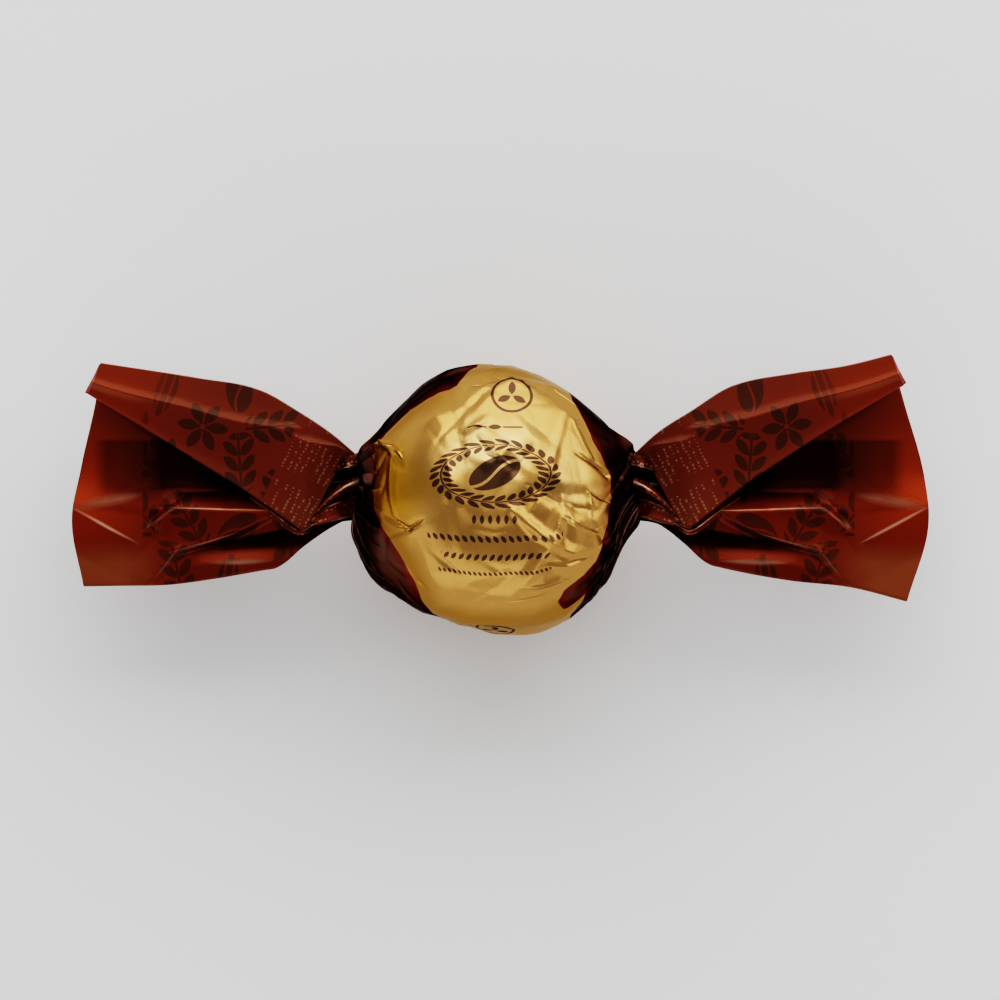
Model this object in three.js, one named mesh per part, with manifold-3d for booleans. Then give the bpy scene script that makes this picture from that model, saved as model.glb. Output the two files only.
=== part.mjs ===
// A chocolate truffle shut in one sheet of printed twist-wrap film.
// The ball in the middle narrows to a twisted neck at each end. Beyond each neck the film opens into a flat
// fan, the wing, whose upper part folds over towards the viewer and lies on the lower part as a flap.
// The object is one piece, so it is one solid. It lies on the underside of its ball with the label up.
// Millimetres. +X runs from wing to wing, +Y to the top of the label, +Z up.
import * as THREE from "three";
import { mergeVertices } from "three/addons/utils/BufferGeometryUtils.js";
import Module from "manifold-3d";

// The ball and its necks
const BALL_RADIUS = 18.5; // across the film, seen from above
const BALL_HALF_HEIGHT = 18.3;
const REST_DEPTH = 0.4; // how far the underside is pressed flat
const NECK_REACH = 19.5; // from the ball's centre to the middle of a neck
const NECK_RADIUS = 4.2;
const NECK_RISE = 1.9; // the necks lie this far towards +Y from the ball's centre
const CONE_START = 0.82; // share of the ball's radius where the film leaves the ball for the neck
const BUNDLE_LENGTH = 5; // the gathered film goes on this far into the wing
const BUNDLE_TAPER = 0.3; // its end's size as a share of the neck
const BALL_STEPS = 10; // rings from the ball's middle to where a cone starts

// Where the soft ball swells or is flattened, as [x, y, z, height, width].
const SWELLS = [
  [9.5, 15.5, 0, -0.85, 8],
  [-14, 12, 0, -0.6, 5],
  [-16, -7, 2, 1.7, 7],
  [-5.5, -17, 0, -1.3, 7],
  [9, -15.5, 0, 0.6, 7],
  [17, -9, 0, -0.5, 4],
];

// The pleats
const PLEATS = 11;
const STEPS_PER_PLEAT = 5;
const PLEAT_START = 0.62; // share of the ball's radius where they begin
const PLEAT_DEPTH = 0.13; // share of the radius at the neck
const PLEAT_TWIST = 0.4; // radians that they are carried round a neck

// The wings' outlines: top, bottom and the flap's edge as [distance out from the neck, distance towards +Y from
// the ball's centre], and the outer edge as [share of the way from the bottom to the top, distance out].
const WINGS = [
  {
    side: -1,
    top: [[-1, 6], [2, 8.8], [7, 11.9], [12.8, 15], [20.5, 16.5], [34, 18.6]],
    bottom: [[-1, -1.6], [3.4, -4.1], [9.7, -8.9], [20, -10.7], [27, -11.4], [36.2, -11.7]],
    flap: [[-1, 4.6], [1.6, 4.2], [4.6, -1.8], [6.2, -3.8], [7.2, -3.9], [13.8, 1.1], [21.5, 5.9], [35.4, 14.4]],
    outer: [[0, 36.1], [0.28, 37.6], [0.53, 36.4], [0.83, 34.4], [1, 33.6]],
    flapEnd: 35.3,
  },
  {
    side: 1,
    top: [[-1, 6], [2, 8.9], [7, 12.4], [12.8, 15.5], [20.5, 17.1], [28, 18.2], [34, 19.7]],
    bottom: [[-1, -1.6], [3.4, -3.8], [8.5, -8.1], [12, -9.3], [22, -11.1], [29, -11.8], [36, -13.6]],
    flap: [[-1, 4.6], [1.6, 4.2], [4.6, -1.6], [6.2, -3.6], [7.2, -3.5], [13.8, 1.8], [21.5, 7], [36, 15.8]],
    outer: [[0, 35.9], [0.3, 39], [0.5, 38.3], [0.8, 35.6], [1, 34.3]],
    flapEnd: 36,
  },
];
const WING_START = -1; // a wing starts this far short of the middle of its neck
const WING_END = 37.6; // the left wing's furthest point from its neck
const FILM = 0.8; // thickness of the layers of film that lie together in a wing
const DROOP = 1.6; // how far the wing's outer edge hangs below its neck
const FLAP_DROOP = 0.9;
const CREASE_HEIGHT = 0.7;
const CREASES = [[5, 1, 0], [9, 0.5, 4]]; // [half waves across the wing, share of the height, lean outwards]

// The flap's ridge and edge along the wing, as [distance out from the neck, value].
const RIDGE_PLACE = [[-1, 0.3], [8.4, 0.24], [23, 0.42], [34, 0.6]]; // share of the way down the flap
const RIDGE_HEIGHT = [[-1, 1.6], [6.9, 4.1], [14, 4], [36, 3.2]]; // above the middle of the neck
const EDGE_HEIGHT = [[-1, 1.2], [6.9, 2.9], [14, 2.4], [36, 2]];

const WING_STEPS = 15; // along a wing
const LOWER_STEPS = 12; // across its lower part
const FLAP_STEPS = 12; // across its flap
const NECK_CROWDING = 1.15; // power that draws the steps along a wing together near its neck
const FOLD_CROWDING = 1.5; // power that draws the steps across a flap together near its fold
const SAME_PLACE = 1e-4; // points closer together than this are one

const { clamp, lerp, smoothstep } = THREE.MathUtils;

const range = (count) => [...Array(count).keys()];

// A smooth function through the given [place, value] points.
function through(points) {
  const last = points.length - 1;
  const slopes = points.map((_, i) => {
    const [before, after] = [points[Math.max(i - 1, 0)], points[Math.min(i + 1, last)]];
    return (after[1] - before[1]) / (after[0] - before[0]);
  });
  return (place) => {
    const i = clamp(points.findLastIndex(([start]) => start <= place), 0, last - 1);
    const [[p0, v0], [p1, v1]] = [points[i], points[i + 1]];
    const span = p1 - p0;
    const t = clamp((place - p0) / span, 0, 1);
    const value = (1 + 2 * t) * (1 - t) ** 2 * v0 + t * t * (3 - 2 * t) * v1;
    return value + span * (t * (1 - t) ** 2 * slopes[i] - t * t * (1 - t) * slopes[i + 1]);
  };
}

function geometryOf(points, triangles) {
  const geometry = new THREE.BufferGeometry().setFromPoints(points);
  geometry.setIndex(triangles);
  return geometry;
}

// Triangles of a grid of points, rows long and columns wide. A ring grid joins its last column to its first.
function gridTriangles(rows, columns, ring, first = 0) {
  const triangles = [];
  for (let row = 0; row < rows - 1; row++) {
    for (let column = 0; column < (ring ? columns : columns - 1); column++) {
      const next = (column + 1) % columns;
      const [a, b] = [first + row * columns + column, first + row * columns + next];
      triangles.push(a, b, b + columns, a, b + columns, a + columns);
    }
  }
  return triangles;
}

// The same triangles facing the other way.
function reversed(triangles) {
  return triangles.map((_, i) => triangles[i + [0, 1, -1][i % 3]]);
}

// Distance of the film from the X axis at a distance along X from the ball's centre.
function bodyRadius(reach) {
  const coneStart = CONE_START * BALL_RADIUS;
  if (reach <= coneStart) {
    return Math.sqrt(BALL_RADIUS ** 2 - reach ** 2);
  }
  const startRadius = Math.sqrt(BALL_RADIUS ** 2 - coneStart ** 2);
  const along = clamp((reach - coneStart) / (NECK_REACH - coneStart), 0, 1);
  const past = clamp((reach - NECK_REACH) / BUNDLE_LENGTH, 0, 1);
  return lerp(startRadius, NECK_RADIUS, along) * lerp(1, BUNDLE_TAPER, past);
}

// How far the film stands out from an even ball at a point.
function swellAt(point) {
  return SWELLS.reduce((sum, [x, y, z, height, width]) => {
    const distance = point.distanceTo(new THREE.Vector3(x, y, z));
    return sum + height * Math.exp(-((distance / width) ** 2));
  }, 0);
}

// A point of the body's film at a place along X and an angle round it.
function bodyPoint(x, angle) {
  const reach = Math.abs(x);
  const gathered = smoothstep(reach, PLEAT_START * BALL_RADIUS, NECK_REACH);
  const lean = PLEAT_TWIST * Math.sign(x) * gathered;
  const radius = bodyRadius(reach) * (1 + PLEAT_DEPTH * gathered * Math.cos(PLEATS * (angle + lean)));
  const point = new THREE.Vector3(x, radius * Math.cos(angle), radius * Math.sin(angle));
  point.addScaledVector(point.clone().normalize(), swellAt(point));
  point.y += NECK_RISE * smoothstep(reach, CONE_START * BALL_RADIUS, NECK_REACH);
  point.z *= BALL_HALF_HEIGHT / BALL_RADIUS;
  return point;
}

// The wrapped ball with its two cones, necks and the gathered film that goes on into the wings.
function bodyGeometry() {
  const coneAngle = Math.asin(CONE_START);
  const reaches = range(BALL_STEPS + 1).map((step) => BALL_RADIUS * Math.sin((coneAngle * step) / BALL_STEPS));
  reaches.push((reaches[BALL_STEPS] + NECK_REACH) / 2, NECK_REACH);
  reaches.push(NECK_REACH + BUNDLE_LENGTH / 2, NECK_REACH + BUNDLE_LENGTH);
  const stations = [...reaches.slice(1).reverse().map((reach) => -reach), ...reaches];
  const ringSteps = PLEATS * STEPS_PER_PLEAT;
  const points = stations.flatMap((x) => range(ringSteps).map((step) => bodyPoint(x, (2 * Math.PI * step) / ringSteps)));
  const triangles = gridTriangles(stations.length, ringSteps, true);
  const ends = [0, (stations.length - 1) * ringSteps];
  ends.forEach((first, end) => {
    const middle = points.push(new THREE.Vector3(points[first].x, NECK_RISE, 0)) - 1;
    const cap = range(ringSteps).flatMap((step) => [middle, first + step, first + ((step + 1) % ringSteps)]);
    triangles.push(...(end ? cap : reversed(cap)));
  });
  return geometryOf(points, triangles);
}

const ridgePlace = through(RIDGE_PLACE);
const ridgeHeight = through(RIDGE_HEIGHT);
const edgeHeight = through(EDGE_HEIGHT);

// Height of a wing's lower part, across being 0 at its bottom edge and 1 at its top edge.
function lowerHeight(out, across) {
  const share = clamp(out / WING_END, 0, 1);
  const creases = CREASES.map(([waves, size, lean]) => size * Math.cos(waves * Math.PI * across + lean * share));
  return -DROOP * share ** 2 + CREASE_HEIGHT * share * creases.reduce((sum, crease) => sum + crease);
}

// Height of a wing's flap, down being 0 at the wing's top edge and 1 at the flap's edge.
function flapHeight(out, down) {
  const droop = FLAP_DROOP * (out / WING_END) ** 2;
  const place = ridgePlace(out);
  if (down < place) {
    const rolled = Math.sqrt(1 - (1 - down / place) ** 2);
    return lerp(lowerHeight(out, 1), ridgeHeight(out) - droop, rolled);
  }
  const past = (down - place) / (1 - place);
  return lerp(ridgeHeight(out), edgeHeight(out), smoothstep(past, 0, 1)) - droop;
}

// The middle of the film of one wing, share running from 0 at the neck to 1 at the outer edge, and strip from 0 to
// 1 across the lower part and from 1 to 2 down the flap.
function wingSurface({ top, bottom, flap, outer, flapEnd }) {
  const [topEdge, bottomEdge, flapEdge, outerEdge] = [top, bottom, flap, outer].map(through);
  return (share, strip) => {
    const down = Math.max(strip - 1, 0);
    const end = strip < 1 ? outerEdge(strip) : lerp(outerEdge(1), flapEnd, down);
    const out = lerp(WING_START, end, share);
    if (strip < 1) {
      return new THREE.Vector3(out, lerp(bottomEdge(out), topEdge(out), strip), lowerHeight(out, strip));
    }
    return new THREE.Vector3(out, lerp(topEdge(out), flapEdge(out), down), flapHeight(out, down));
  };
}

// The closed border of a grid of points, in order.
function gridBorder(rows, columns) {
  return [
    ...range(columns - 1),
    ...range(rows - 1).map((row) => row * columns + columns - 1),
    ...range(columns - 1).map((column) => rows * columns - 1 - column),
    ...range(rows - 1).map((row) => (rows - 1 - row) * columns),
  ];
}

// One wing: the film's middle surface, given its thickness along its own normals.
function wingGeometry(wing) {
  const surface = wingSurface(wing);
  const strips = range(LOWER_STEPS + 1).map((step) => step / LOWER_STEPS);
  strips.push(...range(FLAP_STEPS).map((step) => 1 + ((step + 1) / FLAP_STEPS) ** FOLD_CROWDING));
  const [rows, columns] = [WING_STEPS + 1, strips.length];
  const at = (row, column) => {
    const share = clamp(row / WING_STEPS, 0, 1) ** NECK_CROWDING;
    return surface(share, strips[clamp(column, 0, columns - 1)]);
  };
  const [front, back] = [[], []];
  for (let row = 0; row < rows; row++) {
    for (let column = 0; column < columns; column++) {
      const along = at(row + 1, column).sub(at(row - 1, column));
      const across = at(row, column + 1).sub(at(row, column - 1));
      const offset = along.cross(across).normalize().multiplyScalar(FILM / 2);
      front.push(at(row, column).add(offset));
      back.push(at(row, column).sub(offset));
    }
  }
  const points = [...front, ...back].map((p) => new THREE.Vector3(wing.side * (NECK_REACH + p.x), p.y, p.z));
  const under = front.length;
  const triangles = gridTriangles(rows, columns, false);
  triangles.push(...reversed(gridTriangles(rows, columns, false, under)));
  gridBorder(rows, columns).forEach((a, i, border) => {
    const b = border[(i + 1) % border.length];
    triangles.push(b, a, a + under, b, a + under, b + under);
  });
  return geometryOf(points, wing.side > 0 ? reversed(triangles) : triangles);
}

const wasm = await Module();
wasm.setup();

function solidOf(geometry) {
  const merged = mergeVertices(geometry, SAME_PLACE);
  const vertProperties = merged.getAttribute("position").array;
  return new wasm.Manifold(new wasm.Mesh({ numProp: 3, vertProperties, triVerts: new Uint32Array(merged.index.array) }));
}

// One geometry of all the given ones, cut off flat below a height.
function joinedGeometry(geometries, lowest) {
  const whole = geometries.map(solidOf).reduce((sum, solid) => sum.add(solid));
  const { vertProperties, triVerts } = whole.trimByPlane([0, 0, 1], lowest).getMesh();
  const joined = new THREE.BufferGeometry();
  joined.setAttribute("position", new THREE.BufferAttribute(vertProperties, 3));
  joined.setIndex(new THREE.BufferAttribute(triVerts, 1));
  joined.computeVertexNormals();
  return joined;
}

const film = new THREE.MeshStandardMaterial({ color: 0xb98a34, roughness: 0.35, metalness: 0.7 });
const wrapper = joinedGeometry([bodyGeometry(), ...WINGS.map(wingGeometry)], REST_DEPTH - BALL_HALF_HEIGHT);
const truffle = new THREE.Mesh(wrapper, film);
truffle.name = "wrapped_truffle";

// The origin is the middle of the footprint, on the surface that the ball rests on.
const extent = new THREE.Box3().setFromObject(truffle);
const middle = extent.getCenter(new THREE.Vector3());
truffle.position.set(-middle.x, -middle.y, -extent.min.z);

const root = new THREE.Group();
root.add(truffle);
export default root;
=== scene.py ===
"""Looks of a chocolate truffle shut in printed twist-wrap film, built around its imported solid.

One sheet of metallised film wraps the ball, gathers into pleats at both necks and opens into two wings.
Lengths are in millimetres until a mesh is made. The ball's own coordinates have x along the neck-to-neck
axis, y towards the label's top and z up, from the ball's centre. A wing's own are out, the distance outward
from its neck, and y and z as on the ball.
"""
import functools
import math

import bpy
import numpy as np
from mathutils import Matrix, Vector


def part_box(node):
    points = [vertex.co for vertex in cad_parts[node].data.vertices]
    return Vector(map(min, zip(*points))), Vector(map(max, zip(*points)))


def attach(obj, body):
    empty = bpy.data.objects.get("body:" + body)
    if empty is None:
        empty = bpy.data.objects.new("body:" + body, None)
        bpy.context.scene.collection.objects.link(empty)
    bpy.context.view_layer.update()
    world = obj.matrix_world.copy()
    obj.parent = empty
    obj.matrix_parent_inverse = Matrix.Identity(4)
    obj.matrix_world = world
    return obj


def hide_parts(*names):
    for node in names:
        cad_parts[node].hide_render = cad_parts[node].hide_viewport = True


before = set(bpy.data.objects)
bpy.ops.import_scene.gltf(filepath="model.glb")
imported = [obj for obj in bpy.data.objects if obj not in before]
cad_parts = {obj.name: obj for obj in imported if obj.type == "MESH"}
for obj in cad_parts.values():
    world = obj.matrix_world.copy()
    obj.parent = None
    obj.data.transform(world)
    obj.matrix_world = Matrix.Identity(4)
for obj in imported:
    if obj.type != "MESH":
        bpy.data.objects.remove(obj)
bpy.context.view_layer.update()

NODE = "wrapped_truffle"
MM = 0.001

# Sizes shared with the solid
BALL_RADIUS = 18.5
BALL_HALF_HEIGHT = 18.3
BALL_NEAR_SIDE = 18.17  # from its centre to its furthest point towards -Y
REST_DEPTH = 0.4  # how far the ball's round underside is flattened by the floor
NECK_REACH = 19.5  # from the ball's centre to each neck
NECK_RADIUS = 4.2
NECK_RISE = 1.9  # how far towards +Y a neck lies from the ball's centre
CONE_START = 0.82  # share of the ball's radius where it starts to narrow into the necks
WING_END = 37.6

# A wing's outlines as (out, y), its outer edge as (share of the height, out), where its flap ends, and how
# far its folds and print are stretched outward.
LEFT_WING = {
    "top": [(-1, 6.0), (2, 8.6), (7, 12.0), (12, 14.8), (13.2, 15.2), (20.5, 16.5), (34, 18.6)],
    "bottom": [
        (-1, -1.6), (3.4, -4.0), (6.6, -6.3), (9, -8.4), (10.2, -9.05), (11.4, -9.25), (19, -10.55),
        (25, -11.3), (30, -11.4), (36.2, -11.5),
    ],
    "flap": [
        (-1, 4.6), (1.6, 4.2), (2.8, 2), (4.6, -1.5), (6.1, -3.75), (6.7, -3.9), (7.5, -3.3),
        (13.8, 1.1), (21.5, 5.9), (35.4, 14.4),
    ],
    "outer": [(0, 36.1), (0.28, 37.6), (0.53, 36.4), (0.83, 34.4), (1, 33.6)],
    "flap_end": 35.3,
    "stretch": 1.0,
}
RIGHT_WING = {
    "top": [(-1, 6.0), (2, 8.8), (7, 12.1), (12.4, 15.4), (13.6, 15.8), (20.5, 17.1), (28, 18.2), (34, 19.7)],
    "bottom": [
        (-1, -1.6), (3.4, -3.55), (6.1, -5.7), (8.9, -8.2), (9.7, -8.62), (10.7, -8.87), (20, -10.65),
        (29, -11.7), (36, -13.5),
    ],
    "flap": [
        (-1, 4.6), (1.6, 4.2), (2.8, 2), (4.6, -1.4), (6.1, -3.55), (6.7, -3.7), (7.5, -3.1),
        (13.8, 1.8), (21.5, 7.0), (36, 15.8),
    ],
    "outer": [(0, 36.2), (0.3, 39.0), (0.5, 38.5), (0.8, 35.8), (1, 33.9)],
    "flap_end": 35.5,
    "stretch": 1.035,
}

CAD_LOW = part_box(NODE)[0]
BALL_CENTRE = np.array([
    CAD_LOW.x / MM + NECK_REACH + WING_END,
    CAD_LOW.y / MM + BALL_NEAR_SIDE,
    BALL_HALF_HEIGHT - REST_DEPTH,
])


def clamp(x, lowest=0.0, highest=1.0):
    return np.clip(x, lowest, highest)


def mix(a, b, share):
    return a + (b - a) * share


def smoothstep(start, end, x):
    t = clamp((x - start) / (end - start))
    return t * t * (3 - 2 * t)


def through(points):
    """A smooth function through (place, value) points, level beyond its ends."""
    places, values = np.array(points, float).T
    slopes = np.gradient(values, places)

    def curve(x):
        x = clamp(x, places[0], places[-1])
        i = np.clip(np.searchsorted(places, x, side="right") - 1, 0, len(places) - 2)
        span = places[i + 1] - places[i]
        t = (x - places[i]) / span
        start = (1 + 2 * t) * (1 - t) ** 2 * values[i] + t * (1 - t) ** 2 * span * slopes[i]
        return start + t * t * (3 - 2 * t) * values[i + 1] - t * t * (1 - t) * span * slopes[i + 1]

    return curve


# Large odd numbers that scatter the corners of the noise's cells
HASH_AXES = np.array([73856093, 19349663, 83492791])
HASH_SEED = 2654435761
HASH_MIX = 1274126177


def noise(points, size, seed):
    """Smooth random values from -1 to 1 over points (..., 3), with features of the given size."""
    place = points / size + 100.0
    cell = np.floor(place).astype(np.int64)
    t = place - cell
    t = t * t * (3 - 2 * t)
    total = 0.0
    for corner in np.ndindex(2, 2, 2):
        key = (cell + corner) @ HASH_AXES + seed * HASH_SEED
        key = (key ^ (key >> 13)) * HASH_MIX & 0xFFFFFFFF
        value = ((key ^ (key >> 16)) & 0xFFFF) / 32767.5 - 1
        weight = np.prod(np.where(corner, t, 1 - t), axis=-1)
        total = total + weight * value
    return total


def crease(x, y, line, left, right, power=1.4):
    """Height of a fold whose crest runs through line's (x, y, height) points and falls off to each side."""
    total = np.zeros(np.shape(x))
    for (x0, y0, h0), (x1, y1, h1) in zip(line, line[1:]):
        dx, dy = x1 - x0, y1 - y0
        t = clamp(((x - x0) * dx + (y - y0) * dy) / (dx * dx + dy * dy))
        off_x, off_y = x - x0 - t * dx, y - y0 - t * dy
        width = np.where(dx * off_y - dy * off_x > 0, left, right)
        height = mix(h0, h1, t) * clamp(1 - np.hypot(off_x, off_y) / width) ** power
        total = np.where(np.abs(height) > np.abs(total), height, total)
    return total


def crumple(points, count, seed, long, height, width):
    """Many short straight folds in random places and directions over points (..., 3) on the ball."""
    draws = np.random.default_rng(seed)
    total = np.zeros(points.shape[:-1])
    for _ in range(count):
        middle = draws.normal(size=3)
        middle *= BALL_RADIUS / np.linalg.norm(middle)
        along = np.cross(middle, draws.normal(size=3))
        along /= np.linalg.norm(along)
        across = np.cross(middle / BALL_RADIUS, along)
        reach = long * draws.uniform(0.5, 1.3)
        rise = height * draws.uniform(-1, 1)
        spread = width * draws.uniform(0.5, 1.6)
        offset = points - middle
        window = clamp(1 - np.abs(offset @ along) / reach) * (points @ middle > 0)
        total += rise * window * clamp(1 - np.abs(offset @ across) / (spread * (0.3 + window)))
    return total


def stacked(*values):
    """One array of points from each of their values, spread over all rows and columns."""
    return np.stack(np.broadcast_arrays(*values), axis=-1)


def add_object(name, data):
    """A new object in the scene."""
    made = bpy.data.objects.new(name, data)
    bpy.context.scene.collection.objects.link(made)
    return made


def mesh_piece(name, points, uvs, materials, crest, face_material=None, wrapped=False, flipped=False):
    """An object from a grid of points (rows, columns, 3), with crest 1 at the points on a fold's sharp edge.

    A wrapped grid joins its last column to its first, and has one more column of film coordinates than of
    points. A flipped one has its faces turned over.
    """
    rows, columns = points.shape[:2]
    quads = columns if wrapped else columns - 1
    row, column = np.meshgrid(np.arange(rows - 1), np.arange(quads), indexing="ij")
    corners = [(row, column), (row, column + 1), (row + 1, column + 1), (row + 1, column)]
    if flipped:
        corners.reverse()
    faces = np.stack([r * columns + c % columns for r, c in corners], axis=-1).reshape(-1, 4)
    mesh = bpy.data.meshes.new(name)
    mesh.from_pydata((points.reshape(-1, 3) * MM).tolist(), [], faces.tolist())
    layer = mesh.uv_layers.new(name="film")
    corner_uvs = np.stack([uvs[r, c] for r, c in corners], axis=-2)
    layer.data.foreach_set("uv", corner_uvs.reshape(-1).astype(np.float32))
    crest = np.broadcast_to(crest, (rows, columns)).reshape(-1)
    mesh.attributes.new("crest", "FLOAT", "POINT").data.foreach_set("value", crest.astype(np.float32))
    for material in materials:
        mesh.materials.append(material)
    if face_material is not None:
        mesh.polygons.foreach_set("material_index", np.tile(face_material, rows - 1).astype(np.int32))
    mesh.shade_smooth()
    mesh.update()
    return add_object(name, mesh)


# Materials

def feed(node, sources):
    """Give a node's inputs fields, other nodes' outputs, colours of three numbers or plain numbers."""
    for name, source in dict(sources).items():
        target = node.inputs[name]
        if isinstance(source, Field):
            source = source.socket
        if isinstance(source, bpy.types.NodeSocket):
            node.id_data.links.new(source, target)
        else:
            target.default_value = (*source, 1) if isinstance(source, tuple) else source


class Field:
    """A number that varies over the surface, worked out by Math nodes. It mixes freely with plain numbers."""

    def __init__(self, tree, socket):
        self.tree = tree
        self.socket = socket

    def op(self, operation, *others):
        node = self.tree.nodes.new("ShaderNodeMath")
        node.operation = operation
        feed(node, enumerate((self, *others)))
        return Field(self.tree, node.outputs[0])

    def __add__(self, other):
        return self.op("ADD", other)

    def __sub__(self, other):
        return self.op("SUBTRACT", other)

    def __mul__(self, other):
        return self.op("MULTIPLY", other)

    def __truediv__(self, other):
        return self.op("DIVIDE", other)

    def __rsub__(self, other):
        return self * -1.0 + other

    __radd__ = __add__

    def size(self):
        return self.op("ABSOLUTE")

    def least(self, other):
        return self.op("MINIMUM", other)

    def most(self, other):
        return self.op("MAXIMUM", other)

    def floor(self):
        return self.op("FLOOR")

    def cell(self, period):
        """Place within a repeat of the given period, from minus half of it to half of it."""
        return ((self / period + 0.5).op("FRACT") - 0.5) * period

    def clamped(self):
        """The number kept between 0 and 1."""
        return self.least(1.0).most(0.0)

    def inside(self, blur=0.06):
        """1 where a distance is negative and 0 where it is positive, with a soft edge."""
        return (0.5 - self / blur).clamped()


def length(x, y):
    return (x * x + y * y).op("SQRT")


def spun(x, y, cos, sin):
    """The coordinates of a point after its axes are turned by an angle of this cosine and sine."""
    return x * cos + y * sin, y * cos - x * sin


def turned(x, y, degrees):
    """The coordinates of a point after its axes are turned."""
    return spun(x, y, math.cos(math.radians(degrees)), math.sin(math.radians(degrees)))


def leaf(x, y, long, wide):
    """Distance to a pointed leaf that lies along x."""
    radius = (long * long + wide * wide) / (4 * wide)
    return length(x, y.size() + (radius - wide / 2)) - radius


def bar(x, y, long, wide):
    return (x.size() - long / 2).most(y.size() - wide / 2)


class Film:
    """A material of printed film, and the fields of its film coordinates in millimetres."""

    def __init__(self, name):
        self.material = bpy.data.materials.new(name)
        self.material.use_nodes = True
        self.tree = self.material.node_tree
        self.shader = self.tree.nodes["Principled BSDF"]
        uv = self.node("ShaderNodeUVMap", uv_map="film")
        split = self.node("ShaderNodeSeparateXYZ", {"Vector": uv.outputs["UV"]})
        self.x = Field(self.tree, split.outputs[0])
        self.y = Field(self.tree, split.outputs[1])

    def node(self, kind, sources=(), **settings):
        """A new node, with what its inputs are given."""
        node = self.tree.nodes.new(kind)
        for name, value in settings.items():
            setattr(node, name, value)
        feed(node, sources)
        return node

    def crest(self):
        """How close to a fold's sharp edge, from 0 to 1."""
        return Field(self.tree, self.node("ShaderNodeAttribute", attribute_name="crest").outputs["Fac"])

    def random(self, x, y):
        """A random number from 0 to 1 for each pair of whole numbers."""
        pair = self.node("ShaderNodeCombineXYZ", {"X": x, "Y": y})
        white = self.node("ShaderNodeTexWhiteNoise", {"Vector": pair.outputs[0]}, noise_dimensions="2D")
        return Field(self.tree, white.outputs["Value"])

    def cloud(self, scale):
        """Noise from about 0 to 1 fixed to the object, scale in features per metre."""
        place = self.node("ShaderNodeTexCoord").outputs["Object"]
        texture = self.node("ShaderNodeTexNoise", {"Vector": place, "Scale": scale, "Detail": 2.0})
        return Field(self.tree, texture.outputs["Fac"])

    def patches(self, scale, contrast):
        """A cloud with its contrast raised, from 0 to 1."""
        return ((self.cloud(scale) - 0.5) * contrast + 0.5).clamped()

    def blend(self, base, top, mask):
        """base covered by top where mask is 1. Each is a colour of three numbers or an earlier blend."""
        return self.node("ShaderNodeMix", {0: mask, 6: base, 7: top}, data_type="RGBA").outputs[2]

    def gloss(self, shine, ior):
        """Set the tint and the refractive index of the highlights."""
        feed(self.shader, {"Specular Tint": shine, "IOR": ior})

    def finish(self, colour, roughness, grain, grain_size, metallic, coat=0.0, relief=0.0):
        """Join everything to the shader, with grain a share of GRAIN_HEIGHT and relief in millimetres."""
        height = self.cloud(1 / (grain_size * MM)) * (grain * GRAIN_HEIGHT) + relief
        bump = self.node("ShaderNodeBump", {"Distance": MM, "Height": height})
        feed(self.shader, {
            "Base Color": colour,
            "Roughness": roughness,
            "Metallic": metallic,
            "Coat Weight": coat,
            "Coat Roughness": COAT_ROUGHNESS,
            "Normal": bump.outputs["Normal"],
        })
        return self.material


GRAIN_HEIGHT = 0.2
COAT_ROUGHNESS = 0.22
GOLD = (0.50, 0.27, 0.085)
GOLD_PAINTED_SHADE = (0.50, 0.248, 0.017)
GOLD_RIM_PAINTED_SHADE = (0.31, 0.145, 0.018)
GOLD_PAINTED_HIGHLIGHT = (0.80, 0.54, 0.25)
BROWN_INK = (0.075, 0.035, 0.022)
DARK_INK = (0.105, 0.053, 0.040)
DARK_INK_LIGHT = (0.20, 0.108, 0.083)
RED_LINE = (0.165, 0.040, 0.026)
RED_INK = (0.150, 0.0185, 0.0075)
RED_INK_LOWER = (0.140, 0.0130, 0.0034)
RED_INK_PAINTED_GLOW = (0.225, 0.0245, 0.0030)
RED_INK_TONE_AND_SHADE = (0.106, 0.0150, 0.0048)
RED_INK_PAINTED_SHEEN = (0.205, 0.0600, 0.0240)
SHADOW_AND_LAYERS_INK = (0.016, 0.0028, 0.0022)
MOTIF_INK = (0.052, 0.0100, 0.0048)
MARK_INK = (0.246, 0.120, 0.073)
INK_SHINE = (0.70, 0.62, 0.42)
INK_SHINE_LOWER = (0.80, 0.40, 0.22)
GOLD_SHINE = (0.93, 0.76, 0.50)
PAINTED_CREST_HIGHLIGHT = (0.36, 0.227, 0.19)
PAINTED_HIGHLIGHT_RED = (0.74, 0.47, 0.34)
INSIDE_LIGHT = (0.42, 0.13, 0.10)
INSIDE_DARK = (0.30, 0.075, 0.055)
QUARTER_TURN = math.pi / 2 * BALL_RADIUS  # mm of film from the label's middle to the ball's side

# The label's drawing, in film coordinates
EMBLEMS = [(2.2, 15.4), (0, -24.4)]
RULE_HEIGHT = 10.3
WREATH_HEIGHT = 3.6
WREATH_HALF_WIDTH = 7.4
WREATH_HALF_HEIGHT = 3.9
WREATH_LEAVES = 26
BEAN_LONG = 7.4
BEAN_WIDE = 3.9
BEAN_LEAN = 24
# Bands of leaves below the wreath: each one's height and width, and the length and lean of its leaves.
LEAF_BANDS = [
    (-2.6, 6.8, 1.25, 90),
    (-5.3, 18.6, 1.2, -56),
    (-7.9, 14.6, 1.2, 56),
    (-10.4, 15.4, 0.8, -56),
]


def wreath(x, y):
    """An oval ring of paired leaves."""
    place_x, place_y = x / WREATH_HALF_WIDTH, y / WREATH_HALF_HEIGHT
    mean = (WREATH_HALF_WIDTH + WREATH_HALF_HEIGHT) / 2
    around = place_y.op("ARCTAN2", place_x) * mean
    off_ring = ((length(place_x, place_y) - 1) * mean).size()
    leaf_x, leaf_y = turned(around.cell(math.tau * mean / WREATH_LEAVES), off_ring - 0.72, 36)
    return leaf(leaf_x, leaf_y, 1.9, 0.72).least(off_ring - 0.1)


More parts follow.
